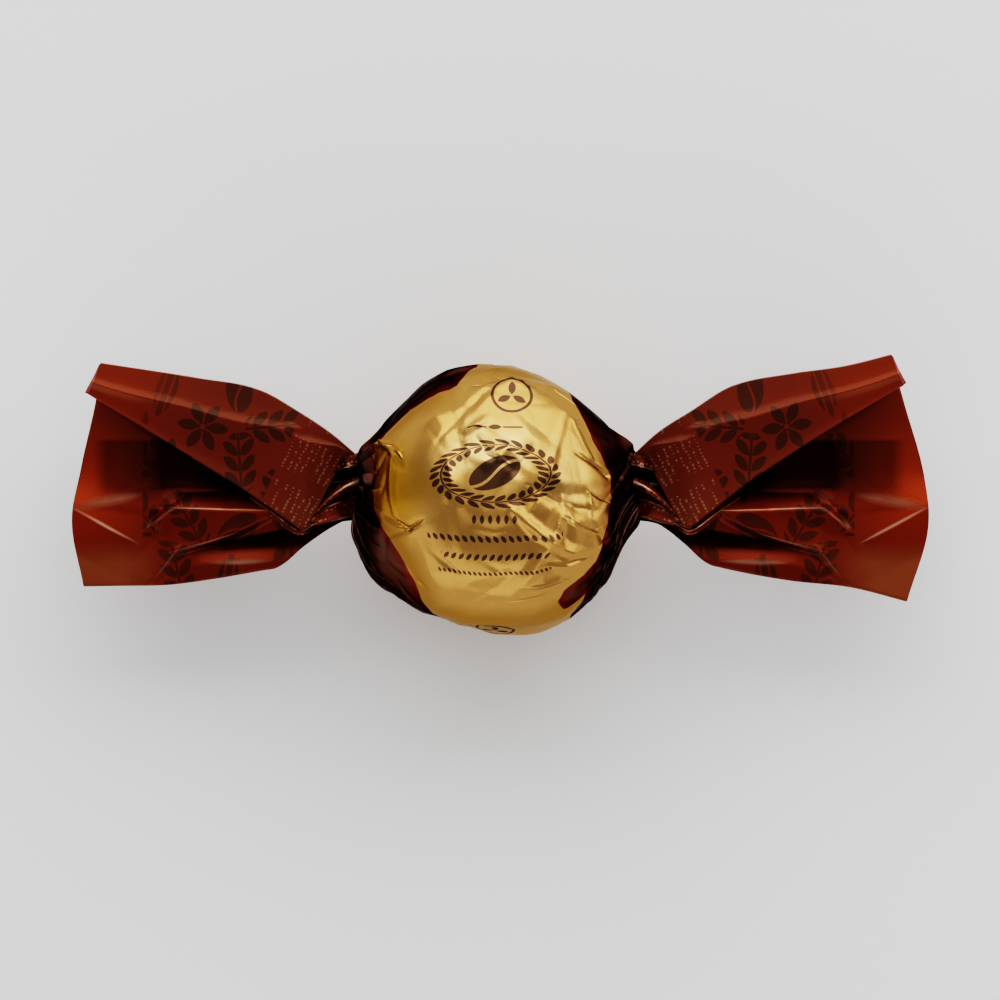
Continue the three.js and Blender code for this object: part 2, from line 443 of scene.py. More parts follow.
def bean_shape(x, y, long, wide):
    """A cocoa bean with a winding split."""
    split = (y - (x * (5.0 / long)).op("SINE") * (wide * 0.16)).size()
    return (length(x * (wide / long), y) - wide / 2).most(wide * 0.05 - split)


def petals(x, y, count, middle, long, wide):
    """A ring of petals, the first along x, with their middles at a distance from the ring's centre."""
    turn = (y.op("ARCTAN2", x) * (count / math.tau)).cell(1.0) * (math.tau / count)
    reach = length(x, y)
    return leaf(reach * turn.op("COSINE") - middle, reach * turn.op("SINE"), long, wide)


def emblem(x, y):
    """A ring round three petals, the first pointing up."""
    ring = (length(x, y) - 2.55).size() - 0.2
    return ring.least(petals(y, x, 3, 1.15, 1.9, 0.95))


def rule(x, y):
    """A short line broken by a leaf."""
    return bar(x.size() - 2.4, y, 2.6, 0.26).least(leaf(x, y, 1.8, 0.8))


def leaf_band(x, y, long, lean):
    """A row of leaning leaves."""
    leaf_x, leaf_y = turned(x.cell(long * 0.86), y, lean)
    return leaf(leaf_x, leaf_y, long, long * 0.46)


def label_ornament(x, y):
    """The brown drawing on one label: emblems, a rule, a wreath round a bean, and bands of leaves."""
    bean_x, bean_y = turned(x, y - WREATH_HEIGHT, BEAN_LEAN)
    drawing = wreath(x, y - WREATH_HEIGHT).least(bean_shape(bean_x, bean_y, BEAN_LONG, BEAN_WIDE))
    for place_x, place_y in EMBLEMS:
        drawing = drawing.least(emblem(x - place_x, y - place_y))
    drawing = drawing.least(rule(x, y - RULE_HEIGHT))
    for height, width, long, lean in LEAF_BANDS:
        band = leaf_band(x + height, y - height, long, lean).most(x.size() - width / 2)
        drawing = drawing.least(band)
    return drawing.inside()


def beyond(x, y, place_x, place_y, degrees):
    """Distance from a line through a place, negative on the side away from the given direction."""
    return (x - place_x) * math.cos(math.radians(degrees)) + (y - place_y) * math.sin(math.radians(degrees))


# The dark zones at the ends of the ball's film, in film coordinates. Each lies beyond all of its lines, given
# as (x, y, degrees): a place on the line and the direction back out of the zone.
DARK_ZONES = [
    [(-20.0, 0, 0)],  # at the left neck
    [(-6, 19.0, -84), (-5.0, 19.4, -20)],
    [(-16, -8.3, 37), (-12.2, -12.8, 19)],
    [(18.9, 0, 180)],  # at the right neck
    [(16.5, 9.5, 212), (13, 16.5, 202), (11.2, 0, 180)],
    [(17, -7.3, 163)],
    [(11.8, -15, 118), (8.6, -17, 195), (12, -20.5, -64), (10.2, -21.2, 240), (9.2, -17.2, 155)],
]


def dark_zones(x, y):
    """Distance from the dark zones, negative inside."""
    zones = []
    for lines in DARK_ZONES:
        sides = [beyond(x, y, *line) for line in lines]
        zones.append(functools.reduce(Field.most, sides))
    return functools.reduce(Field.least, zones)


MARK_ROW_PITCH = 0.88
MARK_PITCH = 0.5
MARKS_IN_RUN = 5
RUNS_LEFT_OUT = 0.2  # their share


def fine_marks(film, x, y):
    """Rows along y of tiny dashes and dots of random lengths, 1 on them and 0 off them."""
    row, mark = (x / MARK_ROW_PITCH).floor(), (y / MARK_PITCH).floor()
    keep = film.random(row, (y / (MARK_PITCH * MARKS_IN_RUN)).floor())
    shape = film.random(row + 0.5, mark)
    off = (x / MARK_ROW_PITCH - row - 0.5) * MARK_ROW_PITCH
    along = (y / MARK_PITCH - mark - 0.5) * MARK_PITCH
    dash = (along.size() - shape * 0.22).most((off - (shape * 7).cell(1.0) * 0.3).size() - 0.14)
    return dash.inside(0.07) * keep.op("GREATER_THAN", RUNS_LEFT_OUT)


def strokes(x, y, lines):
    """The sum of tapering strokes, each the (x, y) of both ends, half the width and the value midway."""
    total = 0.0
    for (x0, y0), (x1, y1), half_width, value in lines:
        dx, dy = x1 - x0, y1 - y0
        t = (((x - x0) * dx + (y - y0) * dy) / (dx * dx + dy * dy)).clamped()
        off = length(x - x0 - t * dx, y - y0 - t * dy)
        taper = t * (1 - t) * 4.0
        total = (1 - off / (taper * 0.6 + 0.4) / half_width).most(0.0) * taper * value + total
    return total


def onto_film(x, y):
    """The film coordinates of a place (x, y) on the upper half of the ball."""
    ring = math.sqrt(BALL_RADIUS ** 2 - x ** 2)
    return BALL_RADIUS * math.asin(x / BALL_RADIUS), BALL_RADIUS * math.asin(y / ring)


# Fine creases in the label's film, each the (x, y) on the ball of both ends, half the width and the height.
LABEL_CREASES = [
    ((7.6, 15.5), (11.6, 12.6), 0.5, 0.3),
    ((9.6, 11.2), (13.6, 4.7), 0.7, 0.25),
    ((10.6, 6.4), (15.1, 3.4), 0.32, -0.3),
    ((1.6, -13.6), (7.8, -12.1), 0.3, -0.1),
    ((3.0, -11.6), (10.6, -10.4), 0.5, 0.12),
    ((5.9, -8.4), (12.6, -7.6), 0.5, -0.3),
    ((-13.8, -2.2), (-11.6, -3.9), 0.3, -0.2),
    ((-11.6, -3.9), (-9.2, -2.3), 0.3, -0.2),
    ((-16.2, 6.3), (-13.4, 7.5), 0.4, 0.25),
    ((-13.6, 7.5), (-12.4, 5.4), 0.35, 0.25),
    ((-3.4, 15.2), (2.4, 15.6), 0.35, -0.2),
    ((-2.6, 9.2), (0.6, 5.4), 0.6, 0.2),
    ((-1.4, 6.3), (2.4, 4.7), 0.4, 0.2),
    ((3.8, 2.3), (8.6, -0.4), 0.6, -0.2),
    ((12.4, 1.4), (15.8, -0.6), 0.4, -0.25),
    ((8.8, -2.2), (14.6, -4.6), 0.5, 0.25),
]


def ramp(x, start, end):
    """0 at start and 1 at end, level beyond them. Either one may be the larger."""
    return ((x - start) / (end - start)).clamped()


def gold_tones(film, label_y, edge):
    """The label's gold with painted shade at its left end and rims and a painted highlight in its middle, and
    the mask of the painted shade at its left end.
    """
    uneven = film.cloud(140) - 0.5
    # Painted shade: the gold darkens towards its left end.
    painted_shade_left = ramp(length(film.x + 18.0, (label_y - 3.0) * 0.8) - uneven * 5, 10.0, 4.0)
    gold = film.blend(GOLD, GOLD_PAINTED_SHADE, painted_shade_left)
    # Painted shade along the left rim and in bands towards the label's lower and upper rims.
    left_rim = ramp(edge - uneven * 3, 5.0, 1.5) * ramp(film.x, -4.0, -9.0)
    left_rim = left_rim * ramp((label_y - 3.0).size(), 5.0, 9.0)
    low_rim = ramp(label_y, -16.5, -19.5) * ramp(label_y, -27.0, -23.0)
    high_rim = ramp(label_y, 20.5, 23.0) * ramp(label_y, 28.0, 25.0)
    gold = film.blend(gold, GOLD_RIM_PAINTED_SHADE, left_rim.most(low_rim).most(high_rim) * 0.8)
    # A painted highlight: whiter gold in patches in the label's upper middle and to its right.
    painted_glare = ramp(length(film.x * 0.6, label_y - 6.6), 6.5, 1.5)
    painted_glare = painted_glare.most(ramp(length(film.x - 10.5, (label_y - 2.0) * 0.6), 5.0, 1.0) * 0.35)
    gold = film.blend(gold, GOLD_PAINTED_HIGHLIGHT, painted_glare * film.patches(260, 3.5) * 0.75)
    return gold, painted_shade_left


def dark_tones(film, edge):
    """The dark ends' ink, with a red line along its edge, and a painted highlight where folds are sharp."""
    dark = film.blend(DARK_INK, DARK_INK_LIGHT, film.patches(110, 3.0) * 0.38)
    dark = film.blend(dark, RED_LINE, (-1.3 - edge).inside(1.6))
    # A painted highlight in a paler ink along the pleats' sharp edges.
    return film.blend(dark, PAINTED_CREST_HIGHLIGHT, film.crest() * film.patches(420, 3.0) * 0.7)


def ball_film():
    """Gold film with a brown drawing and dark ends, one label above and the same again below."""
    film = Film("film_ball")
    past_side = (film.y.size() - QUARTER_TURN).most(0.0)
    label_y = film.y - past_side * film.y.op("SIGN") * 2
    wobble = (film.cloud(160) - 0.5) * 1.2
    edge = dark_zones(film.x + wobble, label_y + wobble)
    inked = edge.inside(0.1)
    drawing = label_ornament(film.x, label_y) * 0.95
    # The gold carries painted shade and a painted highlight.
    gold, painted_shade_left = gold_tones(film, label_y, edge)
    gold = film.blend(gold, BROWN_INK, drawing)
    colour = film.blend(gold, dark_tones(film, edge), inked)
    feed(film.shader, {"Specular Tint": film.blend(GOLD_SHINE, colour, inked.most(drawing))})
    roughness = 0.31 - inked * 0.09
    coat = (0.22 - painted_shade_left * 0.12) * (1 - inked * 0.9)
    creases = [(onto_film(*start), onto_film(*end), *shape) for start, end, *shape in LABEL_CREASES]
    relief = strokes(film.x, label_y, creases)
    return film.finish(colour, roughness, grain=0.16, grain_size=0.2, metallic=1.0, coat=coat, relief=relief)


def spray(x, y):
    """A stem with paired leaves."""
    leaf_x, leaf_y = turned(x.cell(2.1), y.size() - 1.15, 40)
    return leaf(leaf_x, leaf_y, 3.0, 1.25).least(y.size() - 0.16).most(x.size() - 4.1)


def pod(x, y):
    """A cocoa pod with a groove along each side."""
    return leaf(x, y, 7.8, 2.9).most(0.16 - (y.size() - 0.55).size())


def flower(x, y):
    """Six petals round a ring."""
    reach = length(x, y)
    return petals(x, y, 6, 2.0, 3.0, 1.5).least(reach - 0.62).most(0.42 - reach)


MOTIF_PITCH = 7.0


def motif(film, x, y, seed):
    """One drawing in each square of a grid: a spray of leaves, a bean, a pod or a flower."""
    column, row = (x / MOTIF_PITCH + 0.5).floor(), (y / MOTIF_PITCH + 0.5).floor()
    kind = film.random(column + seed, row)
    spin = film.random(column + 31 + seed, row + 17) * math.tau
    place = spun(x.cell(MOTIF_PITCH), y.cell(MOTIF_PITCH), spin.op("COSINE"), spin.op("SINE"))
    low, mid, high = (kind.op("LESS_THAN", limit) for limit in (0.3, 0.55, 0.78))
    drawing = spray(*place) * low + bean_shape(*place, 6.2, 3.6) * (mid - low)
    return drawing + pod(*place) * (high - mid) + flower(*place) * (1 - high)


def wing_film(name, ink, lean, seed, marks_to, motifs_to):
    """Red-brown film with darker drawings on it, and gold fine marks in the strip nearest the neck."""
    film = Film(name)
    out, height = film.x, film.y
    # Darker towards the neck: partly painted shade where the film gathers into it, partly darker ink.
    base = film.blend(RED_INK_TONE_AND_SHADE, ink, ramp(out, 2.0, 11.0))
    base = film.blend(base, RED_INK_TONE_AND_SHADE, film.patches(110, 1.6) * 0.35)
    motif_x, motif_y = turned(out, height, lean)
    printed = ramp(out, marks_to, marks_to + 0.3) * ramp(out, motifs_to + 0.2, motifs_to)
    drawing = motif(film, motif_x, motif_y, seed).inside(0.12)
    colour = film.blend(base, MOTIF_INK, drawing * printed * 0.9)
    blocks = (height - 2.6).cell(6.6).size() - 2.4
    marks = fine_marks(film, out, height) * ramp(out, marks_to + 0.1, marks_to)
    colour = film.blend(colour, MARK_INK, marks * blocks.inside(0.1) * 0.75)
    return film, colour


def finish_wing(film, colour, roughness, metallic, shine):
    """Smooth glossy film."""
    film.gloss(shine, 1.5)
    return film.finish(colour, roughness, grain=0.08, grain_size=0.3, metallic=metallic)


# Painted highlights along creases, as the (out, y) of both ends, half the width and the strength.
PAINTED_HIGHLIGHT_CREASES = [
    ((38.0, -0.8), (28.6, -5.95), 0.32, 0.5),
    ((38.0, -1.2), (28.0, 0.8), 1.0, 0.2),
    ((28.2, -4.2), (23.4, -0.8), 0.3, 0.14),
    ((25.4, -1.0), (8.5, -1.45), 0.16, 0.42),
    ((25.2, -7.3), (14.0, -4.1), 0.2, 0.2),
    ((26.6, -10.8), (23.0, -6.1), 0.2, 0.16),
    ((19.5, -8.5), (10.5, -8.25), 0.5, 0.3),
]


def shadow_and_layers(out, height, edge):
    """How dark the painted shadow is, from 0 to 1, where the film also lies many times over: under the flap,
    at the neck and under a fold.
    """
    under_flap = ramp(out, 34.9, 33.0) * 0.55 + ramp(out, 31.0, 27.0) * 0.12
    under_flap = under_flap + ramp(out - edge * 0.6, 27.4, 25.4) * 0.33
    low = ramp(height, 8.3, 7.9)
    under_flap = under_flap * low + ramp(out, 34.0, 25.0) * (1 - low) * 0.3
    under_flap = under_flap * ramp(out, 6.0, 12.0) * ramp(height + edge * 0.4, -0.4, 1.7)
    at_neck = ramp(out, 7.0, 4.5)
    under_fold = ramp(height + out * 0.07, -6.4, -5.5) * ramp(height + out * 0.19, -2.1, -2.4)
    return under_flap.most(at_neck).most(under_fold * ramp(out, 23.0, 17.0))


def lower_film():
    """Film of a wing's lower part: black with painted shadow where the flap and folds shade it and the film
    lies many times over, with painted light shining through at its outer edge, a painted sheen near its lower
    outer corner and painted highlights along its creases.
    """
    film, colour = wing_film("film_wing_lower", RED_INK_LOWER, lean=12, seed=3, marks_to=7.6, motifs_to=28.0)
    out, height = film.x, film.y
    # Painted light shining through the film round the wing's outer end.
    painted_glow = ramp(length(out - 37.0, (height + 0.3) * 0.8), 9.5, 1.5)
    colour = film.blend(colour, RED_INK_PAINTED_GLOW, painted_glow)
    # A painted sheen: a paler red near the lower outer corner.
    painted_sheen = ramp(height, -5.5, -8.5) * ramp(out, 24.0, 31.0)
    colour = film.blend(colour, RED_INK_PAINTED_SHEEN, painted_sheen * 0.9)
    edge = (film.cloud(180) - 0.5) * 2.0
    shaded_and_layered = shadow_and_layers(out, height, edge)
    # Painted shadow, near black, under the flap, at the neck and under a fold, where the film also lies many
    # times over.
    colour = film.blend(colour, SHADOW_AND_LAYERS_INK, shaded_and_layered)
    # Painted highlights along the creases.
    painted_crease_highlight = strokes(out, height + edge * 0.1, PAINTED_HIGHLIGHT_CREASES) * (0.5 + film.cloud(260))
    colour = film.blend(colour, PAINTED_HIGHLIGHT_RED, painted_crease_highlight.least(1.0))
    return finish_wing(film, colour, roughness=0.28, metallic=shaded_and_layered * 0.75 + 0.25, shine=INK_SHINE_LOWER)


def flap_film():
    """Film of a wing's flap and back, with painted light shining through it towards its outer end."""
    film, colour = wing_film("film_wing_flap", RED_INK, lean=20, seed=5, marks_to=10.6, motifs_to=30.0)
    # Painted light shining through the film towards the flap's outer end.
    colour = film.blend(colour, RED_INK_PAINTED_GLOW, ramp(film.x, 25.0, 34.0) * 0.6)
    return finish_wing(film, colour, roughness=0.22, metallic=0.18, shine=INK_SHINE)


def strand_film(name, light, dark):
    """Dark red film with fine marks and a painted highlight along its crests."""
    film = Film(name)
    base = film.blend(dark, light, film.patches(300, 2.0))
    colour = film.blend(base, MARK_INK, fine_marks(film, film.x, film.y) * 0.9)
    # A painted highlight along the crests.
    colour = film.blend(colour, PAINTED_HIGHLIGHT_RED, film.crest() * film.patches(600, 3.0))
    film.gloss(INK_SHINE, 1.45)
    return film.finish(colour, roughness=0.2, grain=0.1, grain_size=0.3, metallic=0.6)


def inner_film():
    """The unprinted inner side of the film, which shows inside a flap's roll."""
    film = Film("film_inside")
    colour = film.blend(INSIDE_LIGHT, INSIDE_DARK, film.cloud(300))
    return film.finish(colour, roughness=0.45, grain=0.2, grain_size=0.3, metallic=0.3)


# The ball

PLEATS = 23
PLEAT_SEED = 7
PLEAT_HEIGHT = 1.35
PLEAT_OVERLAP = 4.8  # degrees at a neck
PLEAT_JITTER = 4.5  # degrees
PLEAT_TWIST = 20  # degrees by which the pleats wind round on their way to a neck
SMOOTH_FRONT = 62  # degrees from the label's middle within which the left pleats start later
FINE_MIDDLE = 10  # the middle and half of the range with more columns to a pleat, in degrees
FINE_REACH = 100
FOLD_WIDTH = 0.05  # mm between the columns of a fold
FINE_STEPS = 16  # columns from pleat to pleat
COARSE_STEPS = 6
BALL_ROWS = 300
TUCK = 4.6  # mm of film tucked into each neck past the ball's end
BALL_ENDS = (18.4, 19.2)  # where the film plunges into the left and right necks
CORE_RADIUS = 1.4  # of the film tucked into a neck
LABEL_FOLD_SCALE = 2.0
LABEL_FADE = 6  # mm above the ball's middle where the label's folds reach their full height

# Folds in the label, as (x, y, height) along each crest with the widths to its left and right.
LABEL_FOLDS = [
    (
        [(-3.6, 14.3, 0), (-1, 15, 0.6), (2, 15.5, 0.7), (6.7, 13.5, 0.6), (10.1, 10.4, 0.45),
         (11.9, 10.8, 0)],
        0.8, 3.5,
    ),
    ([(10.6, 6.6, 0), (11.8, 5.8, -0.2), (15.3, 3.3, -0.3)], 0.45, 0.45),
    ([(-16.2, 7.4, 0.1), (-14.9, 7.7, 0.5), (-13.9, 6.7, 0.4), (-12.2, 6.3, 0)], 0.5, 0.8),
    ([(-16.6, -0.7, 0), (-13.5, -2.7, -0.25), (-11.5, -3.8, -0.3), (-9.3, -2.6, 0)], 0.6, 0.6),
    ([(-14.9, -5, 0), (-11.5, -3.9, -0.25)], 0.5, 0.7),
    ([(1.8, -0.6, 0), (2.6, -1.6, 0.4), (5.9, -4.6, 0.5), (8.9, -6.3, 0.4), (13, -7.9, 0)], 1.4, 1.1),
    ([(3, -11.6, 0), (5.5, -11.6, 0.12), (8.6, -10.8, 0.12)], 0.8, 0.5),
    ([(-4.3, 8.7, 0), (-2.4, 9.8, 0.3), (-0.4, 11.4, 0)], 0.9, 0.6),
    ([(-1.6, 3.8, 0), (0.6, 5.6, 0.35), (3.4, 8.3, 0)], 1.6, 1.0),
    ([(5.2, 2.6, 0), (7.4, 1.6, -0.3), (8.4, 0, -0.1), (11, -1.2, -0.3), (15, -1.2, 0)], 1.6, 1.6),
    ([(-6.5, 6.4, 0), (-5.6, 2, 0.3), (-6.4, -0.6, 0)], 1.6, 1.2),
    ([(-10, 9.4, 0), (-6, 11.9, 0.2), (-3, 12.4, 0)], 1.4, 1.4),
    ([(-4, -3.2, 0), (0, -4, 0.18), (2.5, -3.2, 0)], 1.2, 1.2),
]

# Where the ball swells or is flattened, as (x, y, z, height, width).
SWELLS = [
    (9.5, 15.5, 0, -0.85, 8),
    (-14, 12, 0, -0.6, 5),
    (-16, -7, 2, 1.7, 7),
    (-5.5, -17, 0, -1.3, 7),
    (9, -15.5, 0, 0.6, 7),
    (17, -9, 0, -0.5, 4),
    (18.6, -3.4, 1, 0.9, 3),
]


def ball_end(x):
    """How far out the ball ends, on the side of x."""
    return np.where(x < 0, *BALL_ENDS)


def ball_profile(rows):
    """Distance along the axis, radius and film length from the middle, for rows from neck to neck."""
    x = np.linspace(-1, 1, 8001) * (NECK_REACH + TUCK)
    reach = np.abs(x)
    cone_start = CONE_START * BALL_RADIUS
    sphere = np.sqrt(BALL_RADIUS ** 2 - np.minimum(reach, cone_start) ** 2)
    start = math.sqrt(BALL_RADIUS ** 2 - cone_start ** 2)
    cone = mix(start, NECK_RADIUS, clamp((reach - cone_start) / (NECK_REACH - cone_start)))
    radius = np.where(reach <= cone_start, sphere, cone)
    rounded = np.sqrt(1 - clamp((reach - ball_end(x) + 0.5) / 0.9) ** 2)
    radius = CORE_RADIUS + (radius - CORE_RADIUS) * rounded
    lengths = np.concatenate([[0], np.cumsum(np.hypot(np.diff(x), np.diff(radius)))])
    lengths -= lengths[len(x) // 2]
    want = np.linspace(lengths[0], lengths[-1], rows)
    return np.interp(want, lengths, x), np.interp(want, lengths, radius), want


def pleat_layout(along, draws):
    """The angle of every pleat at every row in degrees from the label's middle, and how far it has grown."""
    spaced = (np.arange(PLEATS) + 0.5) * 360 / PLEATS - 180
    end = along[-1] - TUCK
    angles, growths = [], []
    for side in (-1, 1):
        angles.append(spaced + draws.uniform(-PLEAT_JITTER, PLEAT_JITTER, PLEATS))
        front = clamp(1 - np.abs(angles[-1]) / SMOOTH_FRONT)
        start = (draws.uniform(0.34, 0.6, PLEATS) + 0.3 * front * (side < 0)) * end
        strength = 0.2 + 1.4 * draws.uniform(0, 1, PLEATS) ** 1.8
        growths.append(strength * smoothstep(start, end * 0.92, side * along[:, None]))
    share = smoothstep(-9, 9, along)[:, None]
    twist = PLEAT_TWIST * smoothstep(0.5 * end, end, np.abs(along))[:, None] * np.sign(along)[:, None]
    return mix(angles[0], angles[1], share) + twist, growths[0] + growths[1]


def ball_columns(angles, grow, radius):
    """The ball's columns, as (rows, columns) arrays of five values for every point.

    They are its angle in degrees, its height as a share of a full pleat's, how far it sags between pleats,
    its angle on the flat film, and how close it is to a pleat's sharp edge.
    """
    fold = np.degrees(FOLD_WIDTH / radius)
    columns = []
    for pleat in range(PLEATS):
        after = (pleat + 1) % PLEATS
        turn = 360 if after == 0 else 0
        grown, grown_after = grow[:, pleat], grow[:, after]
        start = angles[:, pleat] - PLEAT_OVERLAP * grown + fold
        end = angles[:, after] + turn + PLEAT_OVERLAP * grown_after - fold
        middle = (angles[:, pleat] + angles[:, after] + turn) / 2
        sharp = clamp(grown_after * 2 - 1.2)
        steps = FINE_STEPS if abs(np.median(middle) - FINE_MIDDLE) < FINE_REACH else COARSE_STEPS
        for q in 0.5 - 0.5 * np.cos(np.linspace(0, math.pi, steps + 1)):
            angle = mix(start, end, q)
            speed = mix(1, radius / BALL_RADIUS, clamp(mix(grown, grown_after, q) * 1.4))
            on_film = middle + (angle - middle) * speed
            sag = 4 * q * (1 - q) * clamp(grown + grown_after)
            columns.append((angle, grown_after * q ** 1.7, sag, on_film, sharp * (q > 0.97)))
        folded = clamp(grown_after * 6)
        angle = end + fold * mix(1, -0.4, folded)
        columns.append((angle, grown_after * 0.8, 0 * end, on_film + fold + folded, sharp))
    return [np.stack(values, axis=1) for values in zip(*columns)]


def pleat_relief(x, radius, heights, sags, inside_neck):
    """Height of the pleats, less how far the film sinks between them and on its way into the necks."""
    reach = np.abs(x)
    pleats = PLEAT_HEIGHT * heights * (1 - 0.7 * inside_neck) * (radius / BALL_RADIUS) ** 0.35
    sunk = sags * radius * (1 - math.cos(math.pi / PLEATS)) * 1.3
    sunk = sunk + 0.35 * smoothstep(0.5 * BALL_RADIUS, NECK_REACH, reach)
    return pleats - sunk - 0.75 * smoothstep(0.8, 1.0, reach / ball_end(x))


def crumpled_relief(base, inside_neck):
    """Height of the swells, the label's folds, the small crumples and the streaks that run into the necks."""
    total = np.zeros(base.shape[:-1])
    for *place, height, width in SWELLS:
        total += height * np.exp(-((base - place) ** 2).sum(axis=-1) / width ** 2)
    label = LABEL_FOLD_SCALE * clamp(base[..., 2] / LABEL_FADE)
    for line, left_width, right_width in LABEL_FOLDS:
        total += label * crease(base[..., 0], base[..., 1], line, left_width, right_width)
    total += crumple(base, count=110, seed=3, long=9.0, height=0.55, width=1.6)
    total += crumple(base, count=240, seed=4, long=3.6, height=0.2, width=0.8)
    total += 0.22 * noise(base, 5.0, 1) + 0.06 * noise(base, 2.0, 2)
    gathered = smoothstep(0.5 * BALL_RADIUS, NECK_REACH, np.abs(base[..., 0]))
    streaks = noise(base / (4, 1, 1), 2.6, 5)
    return total + 0.1 * gathered * streaks * (1 - inside_neck)


def ball_piece(material):
    """The film round the ball, gathered into pleats towards both necks."""
    x, radius, along = ball_profile(BALL_ROWS)
    angles, grow = pleat_layout(along, np.random.default_rng(PLEAT_SEED))
    degrees, heights, sags, film_degrees, sharp = ball_columns(angles, grow, radius)
    slope = np.gradient(radius, x)
    x, radius, along, slope = (row[:, None] for row in (x, radius, along, slope))
    inside_neck = smoothstep(-0.3, 0.6, np.abs(x) - ball_end(x))
    sin, cos = np.sin(np.radians(degrees)), np.cos(np.radians(degrees))
    base = stacked(x, radius * sin, radius * cos)
    out = stacked(-slope * (1 - inside_neck), sin, cos)
    out /= np.linalg.norm(out, axis=-1, keepdims=True)
    offset = pleat_relief(x, radius, heights, sags, inside_neck) + crumpled_relief(base, inside_neck)
    points = base + out * offset[..., None]
    points[..., 2] *= BALL_HALF_HEIGHT / BALL_RADIUS
    points[..., 1] += NECK_RISE * smoothstep(CONE_START * BALL_RADIUS, NECK_REACH, np.abs(x))
    points += BALL_CENTRE
    points[..., 2] = np.maximum(points[..., 2], 0)
    film_y = np.radians(film_degrees) * BALL_RADIUS
    film_y = np.concatenate([film_y, film_y[:, :1] + math.tau * BALL_RADIUS], axis=1)
    uvs = stacked(along, film_y)
    crest = sharp * (1 - smoothstep(0.82, 0.97, np.abs(x) / ball_end(x)))
    return mesh_piece("film_ball", points, uvs, [material], crest, wrapped=True, flipped=True)


# The wings

# The flap's ridge and edge by distance out: the ridge's share of the way from the wing's upper edge to the
# flap's edge, and the heights of both.
ridge_place = through([(-1, 0.3), (8.4, 0.24), (13.8, 0.36), (23, 0.42), (34, 0.6)])
ridge_height = through([(-1, 1.6), (3, 3), (6.9, 4.1), (14, 4.0), (25, 3.7), (36, 3.2)])
edge_height = through([(-1, 1.2), (4, 2.4), (6.9, 2.9), (14, 2.4), (25, 2.35), (36, 2.4)])
RIDGE_BAND = 3.4  # mm above the flap's ridge where its film rises to the ridge
RIDGE_SLOPE = 0.45  # its slope at the ridge
FOLD_ROLL = 0.15  # mm from the wing's upper edge to the top of the fold
WING_ROWS = 165
LOWER_COLUMNS = 105
INNER_COLUMNS = 34
FLAP_COLUMNS = 90
BACK_COLUMNS = 62
INNER_END = 0.94  # share of the flap's underside that shows the film's inner side
LOWER, FLAP, INNER = range(3)  # the places of a wing's materials
LAYER_GAP = 0.45  # thickness of the flap
BACK_GAP = 0.55  # thickness of the lower part
LOWER_DROOP = 1.6  # how far the ends of a wing's lower part and of its flap droop
FLAP_DROOP = 0.9
CREASE_POWER = 1.2
FLAP_PRINT_TURN = 25  # degrees
# Places round an edge from back to front, each its share of the thickness behind the front and of the bulge.
ROUND_EDGE = [(0.5 - 0.5 * math.sin(turn), math.cos(turn)) for turn in np.radians([-45, 0, 45])]

# Folds in a wing's lower part and in its flap, as (out, y, height) along each crest with the widths to its
# left and right.
LOWER_FOLDS = [
    ([(29.2, -5.7, 0.3), (33.5, -3.4, 0.9), (37.8, -1, 1.4), (32, 0.6, 0.7), (26.5, 1.8, 0)], 4.6, 5.2),
    ([(25.5, -1, 0), (23, -1.3, 1.2), (20, -1.4, 1.5), (14, -1.5, 1.8), (10.2, -1.4, 1.3)], 4.5, 2.5),
    ([(27.5, -4.7, 0.2), (26, -2.9, 0.9), (24.2, -1.1, 0.5)], 2.5, 0.8),
    ([(27.7, -3.5, 0), (26, -1.8, -0.7), (24.6, -0.3, 0)], 0.8, 0.8),
    (
        [(27.4, -10.9, 0.1), (26.7, -10.6, 0.4), (23.6, -6.9, 1), (20.1, -5.9, 1.2), (16.3, -4.7, 1.3),
         (11.2, -2.2, 0.7)],
        0.9, 3.5,
    ),
    ([(24.5, -9.8, 0), (20, -8.8, 0.7), (15.5, -8.1, 1.0), (10, -8.3, 0.6), (7, -7.2, 0)], 2.2, 2.4),
]
FLAP_FOLDS = [
    ([(8.2, 9.9, 0.25), (5.5, 9.2, 0)], 1.0, 0.8),
]


def droop(out, depth):
    """How far a wing has drooped at a distance out, when its end droops by depth."""
    return depth * clamp(out / WING_END) ** 2


def folded(out, y, folds):
    """Height of a wing's folds."""
    return sum(crease(out, y, *fold, CREASE_POWER) for fold in folds)


def lower_height(out, y):
    """Height of the lower part of a wing, from its neck's middle."""
    under_flap = smoothstep(-1.5, 4.5, y) * smoothstep(2, 9, out)
    sunk = 1.5 * under_flap * (1 - 0.8 * smoothstep(22, 33, out))
    return folded(out, y, LOWER_FOLDS) - sunk - droop(out, LOWER_DROOP)


def gathers(out, share):
    """Folds that fan out from the neck and run out by the middle of the wing."""
    lean = share * 6 + 0.12 * out + 0.2
    return 0.6 * np.exp(-np.maximum(out, 0) / 2.6) * (2 * np.abs(lean % 1 - 0.5) - 0.5)


def flap_height(out, f, wide):
    """Height of the flap's front, f going from 0 at the wing's top to 1 at the flap's edge, wide mm away."""
    place, ridge, edge = ridge_place(out), ridge_height(out), edge_height(out)
    above, upper = clamp(place - f) * wide, place * wide
    band = np.minimum(RIDGE_BAND, 0.6 * upper)
    near = np.minimum(above, band)
    roll = np.sqrt(1 - (1 - clamp((upper - above) / np.minimum(FOLD_ROLL, 0.4 * upper))) ** 2)
    upper_height = (ridge - RIDGE_SLOPE * (near - near ** 2 / (2 * band))) * roll
    past = clamp((f - place) / (1 - place))
    height = np.where(f < place, upper_height, edge + (ridge - edge) * (1 - past) ** 1.9)
    return height - droop(out, FLAP_DROOP)


